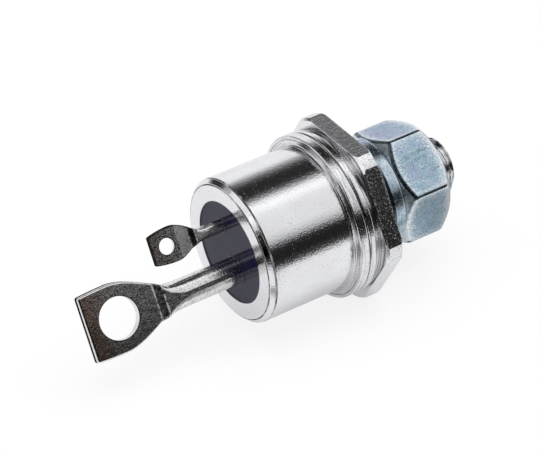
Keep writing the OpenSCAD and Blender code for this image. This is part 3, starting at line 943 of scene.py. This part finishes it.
def section_ring(half_w, half_t, corner, shift, z):
    """Rounded rectangle about (shift, 0) at height z that turns into a circle when all three sizes match.
    Its narrow sides have a point where the torn share ends."""
    step = 90 / ARC_POINTS
    r = corner / math.cos(math.radians(step / 2))
    ring = []
    for q, (sx, sy) in enumerate(((1, 1), (-1, 1), (-1, -1), (1, -1))):
        for k in range(ARC_POINTS):
            t = math.radians(90 * q + (k + 0.5) * step)
            ring.append((sx * (half_w - corner) + r * math.cos(t), sy * (half_t - corner) + r * math.sin(t)))
    out = []
    for i, p in enumerate(ring):
        out.append(p)
        if i % ARC_POINTS == ARC_POINTS - 1:
            q = ring[(i + 1) % len(ring)]
            share = min(0.2, 0.08 / max(math.dist(p, q), 1e-6))
            past = min(share, (1 - TORN_SHARE) / 2)
            sides = ((share, 1 - share), (TORN_SHARE, 1 - past), (share, 1 - share), (past, 1 - TORN_SHARE))
            for f in sides[i // ARC_POINTS]:
                out.append((p[0] + (q[0] - p[0]) * f, p[1] + (q[1] - p[1]) * f))
    return [(x + shift, y, z) for x, y in out]


def part_way(z, low, high):
    """Share of the way from a low to a high height."""
    return min(1.0, max(0.0, (z - low) / (high - low)))


class LugShape:
    """Heights and sections of a pin that flattens up to a crest and is pressed from there into a lug."""

    def __init__(self, t):
        self.t = t
        self.r = t.pin_d / 2
        self.tip = Z_FACE + t.reach
        self.shoulder = self.tip - t.shoulder
        self.flat = self.tip - t.flat_l
        self.crest = self.flat - t.ramp_l
        self.round = self.crest - FLATTEN_SHARE * t.pin_d
        self.widen = self.crest - WIDEN_SHARE * t.pin_d

    def pressed(self, z, at_crest, at_flat):
        """Size that goes from the pin's radius to one at the crest, and from there to one on the flat."""
        if z <= self.crest:
            return self.r + (at_crest - self.r) * part_way(z, self.round, self.crest) ** FLATTEN_POWER
        return at_crest + (at_flat - at_crest) * part_way(z, self.crest, self.flat)

    def half_t(self, z):
        """Half thickness, with creases that are a little soft."""
        sizes = CREST_T_SHARE * self.t.pin_d, self.t.lug_t / 2
        return sum(self.pressed(z + d, *sizes) for d in CREASE_STEPS) / len(CREASE_STEPS)

    def half_w(self, z):
        """Half width."""
        t = self.t
        if z <= self.shoulder:
            way = part_way(z, self.widen, self.shoulder) ** WIDEN_POWER
            return self.r + (t.lug_w / 2 - self.r) * math.sin(math.pi / 2 * way)
        return t.lug_w / 2 - (t.lug_w - t.tip_w) / 2 * part_way(z, self.shoulder, self.tip) ** 2

    def corner(self, z):
        """Rounding of the section's corners."""
        return self.pressed(z, CREST_R_SHARE * self.t.pin_d, self.t.edge)

    def side(self, z):
        """How far the section stands off the pin's axis."""
        return LUG_SHIFT * part_way(z, self.widen, self.flat)

    def heights(self):
        """Heights of the sections from the glass to the start of the tip's rounding."""
        spans = [[Z_GLASS_UNDER, Z_GLASS, Z_GLASS + 0.6],
                 np.linspace(Z_GLASS + 1.2, self.round - 0.05, 4),
                 np.linspace(self.round, self.crest - CREASE_GAP, 12),
                 [self.crest + d for d in CREASE_STEPS],
                 np.linspace(self.crest + CREASE_GAP, self.flat - CREASE_GAP, 4),
                 [self.flat + d for d in CREASE_STEPS], [self.flat + CREASE_GAP],
                 np.linspace(self.flat + 0.4, self.shoulder, 15),
                 np.linspace(self.shoulder, self.tip - self.t.edge, 9)[1:]]
        return [z for span in spans for z in span]

    def rings(self):
        """Sections from the socket in the pin's lower end to the tip."""
        t, r = self.t, self.r

        def circle(radius, z):
            return section_ring(radius, radius, radius, 0, z)

        rings = [circle(t.socket_r, Z_PIN_END + SOCKET_DEPTH), circle(t.socket_r, Z_PIN_END),
                 circle(r - PIN_BEVEL, Z_PIN_END), circle(r, Z_PIN_END + PIN_BEVEL)]
        for z in self.heights():
            sizes = self.half_w(z), self.half_t(z), self.corner(z)
            rings.append(section_ring(*sizes, self.side(z), z))
        for k in range(1, 5):
            a = math.pi / 2 * k / 4
            inset = t.edge * (1 - math.cos(a))
            z = self.tip - t.edge + t.edge * math.sin(a)
            sizes = self.half_w(z) - inset, t.lug_t / 2 - inset, t.edge - 0.8 * inset
            rings.append(section_ring(*sizes, self.side(z), z))
        return rings


def on_pin_line(p, offset):
    """Points about a pin's own axis moved to the pin's place in the glass."""
    turn = math.radians(TERMINAL_TURN)
    x, y = p[:, 0] + offset, p[:, 1]
    return np.column_stack([x * math.cos(turn) - y * math.sin(turn), x * math.sin(turn) + y * math.cos(turn),
                            p[:, 2]])


def build_terminal(name, node, looks, t):
    """Pin with a pressed lug. The lug's hole is cut last."""
    shape = LugShape(t)
    rings = shape.rings()
    n = len(rings[0])
    points = np.array([p for ring in rings for p in ring])
    faces = grid_faces(len(rings), n)
    rough_side, last = n // 2 - 2, (len(rings) - 1) * n
    faces += [tuple(range(n)), tuple(last + i for i in [n - 1] + list(range(rough_side + 1))),
              tuple(last + i for i in range(rough_side, n))]
    # Creases are rubbed, the ramp between them is painted dark as a painted reflection, and the lug's edge
    # is painted black as shade where it tore
    torn = {n - 1, *range(ARC_POINTS - 1), *range(ARC_POINTS + 2, rough_side)}
    if not t.rubbed:
        torn |= {*range(rough_side, n // 2 + ARC_POINTS - 1), *range(n // 2 + ARC_POINTS + 2, n - 1)}
    slots = []
    for f in faces:
        z = points[list(f)][:, 2].mean()
        on_tip = z > shape.tip - t.edge and (f[0] % n < rough_side or not t.rubbed)
        if min(abs(z - shape.crest), abs(z - shape.flat)) < CREASE_REACH:
            slots.append(1)
        elif shape.crest < z < shape.flat:
            slots.append(2)
        elif z > shape.flat and len(f) == 4 and (f[0] % n in torn or on_tip):
            slots.append(3)
        else:
            slots.append(0)
    slots[-2] = 3
    if not t.rubbed:
        slots[-1] = 3
    placed = on_pin_line(points, t.offset)
    obj = add_piece(name, node, placed, faces, looks, slots, sharp=LUG_SHARP)
    wide, over = t.hole_d / 2, 0.3
    outline = np.array([(wide + HOLE_BEVEL + over, -t.lug_t / 2 - over), (wide, -t.lug_t / 2 + HOLE_BEVEL),
                        (wide, t.lug_t / 2 - HOLE_BEVEL), (wide + HOLE_BEVEL + over, t.lug_t / 2 + over)])
    ring = spun([outline] * HOLE_SEGMENTS, np.arange(HOLE_SEGMENTS) * 360 / HOLE_SEGMENTS)
    local = np.column_stack([ring[:, 0] + LUG_SHIFT, ring[:, 2], ring[:, 1] + shape.tip - t.hole_back])
    ends = [tuple(range(HOLE_SEGMENTS)), tuple(range(len(ring) - HOLE_SEGMENTS, len(ring)))]
    drill_hole(obj, on_pin_line(local, t.offset), grid_faces(len(outline), HOLE_SEGMENTS) + ends)


def drill_hole(obj, points, faces):
    """Cuts a drill's shape out of a piece and keeps the result as the piece's mesh. The hole's rims get the
    fourth material."""
    drill = new_object("drill", closed_mesh("drill", points, faces))
    cut = obj.modifiers.new("hole", "BOOLEAN")
    cut.operation = "DIFFERENCE"
    cut.solver = "EXACT"
    cut.object = drill
    graph = bpy.context.evaluated_depsgraph_get()
    result = bpy.data.meshes.new_from_object(obj.evaluated_get(graph))
    obj.modifiers.clear()
    result.shade_smooth()
    result.set_sharp_from_angle(angle=math.radians(LUG_SHARP))
    middle = Vector(to_row(points).mean(0))
    reach = np.linalg.norm(to_row(points) - middle, axis=1).min() * 1.2
    for face in result.polygons:
        square = abs(face.normal.dot(FLAT_NORMAL))
        if square > 0.9998:
            face.use_smooth = False
        elif 0.5 < square < 0.9 and (face.center - middle).length < reach:
            face.material_index = 3
    obj.data = result
    bpy.data.objects.remove(drill)


def build_glass(m):
    """Glass disc that creeps up a little at the pins and the wall."""
    turn = math.radians(TERMINAL_TURN)
    holes = [(t.offset * math.cos(turn), t.offset * math.sin(turn), t.pin_d / 2) for t in (CATHODE, GATE)]
    points, edges = [], []

    def circle(x, y, r, n, joined_up):
        start = len(points)
        for i in range(n):
            a = 2 * math.pi * i / n
            points.append((x + r * math.cos(a), y + r * math.sin(a)))
        if joined_up:
            edges.extend((start + i, start + (i + 1) % n) for i in range(n))

    def gaps(x, y):
        """Distances to the wall and to the pins."""
        return [GLASS_R - np.hypot(x, y)] + [np.hypot(x - hx, y - hy) - r for hx, hy, r in holes]

    for d in (0, 0.05, 0.12, 0.22, 0.4):
        circle(0, 0, GLASS_R - d, WALL_SEGMENTS, d == 0)
        for x, y, r in holes:
            circle(x, y, r + d, HOLE_SEGMENTS, d == 0)
    for x in np.arange(-5, 5.01, 0.5):
        for y in np.arange(-5, 5.01, 0.5):
            if min(gaps(x, y)) > 0.6:
                points.append((x, y))
    out, _, tris, _, _, _ = delaunay_2d_cdt(points, edges, [], 1, 1e-7)
    flat = np.array([tuple(p) for p in out])
    kept = []
    for t in tris:
        c = flat[list(t)].mean(0)
        if all(math.hypot(c[0] - x, c[1] - y) > r * 0.999 for x, y, r in holes):
            kept.append(tuple(t))
    gap = np.min(gaps(flat[:, 0], flat[:, 1]), axis=0)
    top = np.column_stack([flat, Z_GLASS + GLASS_CREEP * np.exp(-np.maximum(gap, 0) / GLASS_CREEP_REACH)])
    low = np.column_stack([flat, np.full(len(flat), Z_GLASS_UNDER)])
    # Walls stand on the edges that only one triangle has
    n = len(flat)
    found = {}
    for t in kept:
        for a, b in zip(t, t[1:] + t[:1]):
            found.setdefault(frozenset((a, b)), []).append((a, b))
    walls = [(e[0][1], e[0][0], e[0][0] + n, e[0][1] + n) for e in found.values() if len(e) == 1]
    faces = kept + [tuple(i + n for i in reversed(t)) for t in kept] + walls
    used = sorted({i for f in faces for i in f})
    number = {v: i for i, v in enumerate(used)}
    faces = [tuple(number[i] for i in f) for f in faces]
    add_piece("glass", "glass_seal", np.vstack([top, low])[used], faces, [m["glass"]])


def inner(name, color, metallic, low, high):
    """Plain worked surface for the sealed pieces."""
    s = Surface(name, metallic)
    dark = tuple(c * 0.8 for c in color)
    s.color(s.ramp(s.noise(0.8, 4), [(0.3, dark), (0.7, color)]))
    s.rough(s.spread(s.noise(0.5, 3), 0.3, 0.7, low, high))
    s.bump(s.noise(0.2, 2), 0.3, 0.01)
    return s.material


def dress_inside():
    """Materials of the sealed pieces, which stay as the solids are."""
    grey_metal = inner("molybdenum", (0.50, 0.51, 0.53), 1.0, 0.25, 0.4)
    copper = inner("copper", (0.78, 0.47, 0.33), 1.0, 0.2, 0.35)
    looks = {
        "anode_plate": grey_metal, "cathode_contact": grey_metal,
        "silicon_pellet": inner("silicon", (0.28, 0.30, 0.36), 0.4, 0.15, 0.3),
        "junction_coating": inner("junction_rubber", (0.90, 0.88, 0.84), 0.0, 0.4, 0.6),
        "lead_cup": copper, "cathode_lead": copper, "gate_lead": copper,
        "gate_sleeve": inner("sleeve_plastic", (0.88, 0.86, 0.82), 0.0, 0.4, 0.55),
    }
    for node, material in looks.items():
        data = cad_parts[node].data
        data.materials.clear()
        data.materials.append(material)


def main():
    bpy.context.scene.view_settings.view_transform = "Standard"
    studio_world()
    white_floor()
    overhead_lamp()
    place_camera()
    m = materials()
    build_cap(m)
    build_weld_ring(m)
    build_stud_base(m)
    build_nut(m)
    build_washer(m)
    build_glass(m)
    pressed = [m["worn"], m["pressed"], m["sheared"]]
    build_terminal("cathode_lug", "cathode_terminal", [m["cathode"], *pressed], CATHODE)
    build_terminal("gate_lug", "gate_terminal", [m["gate"], *pressed], GATE)
    dress_inside()


main()
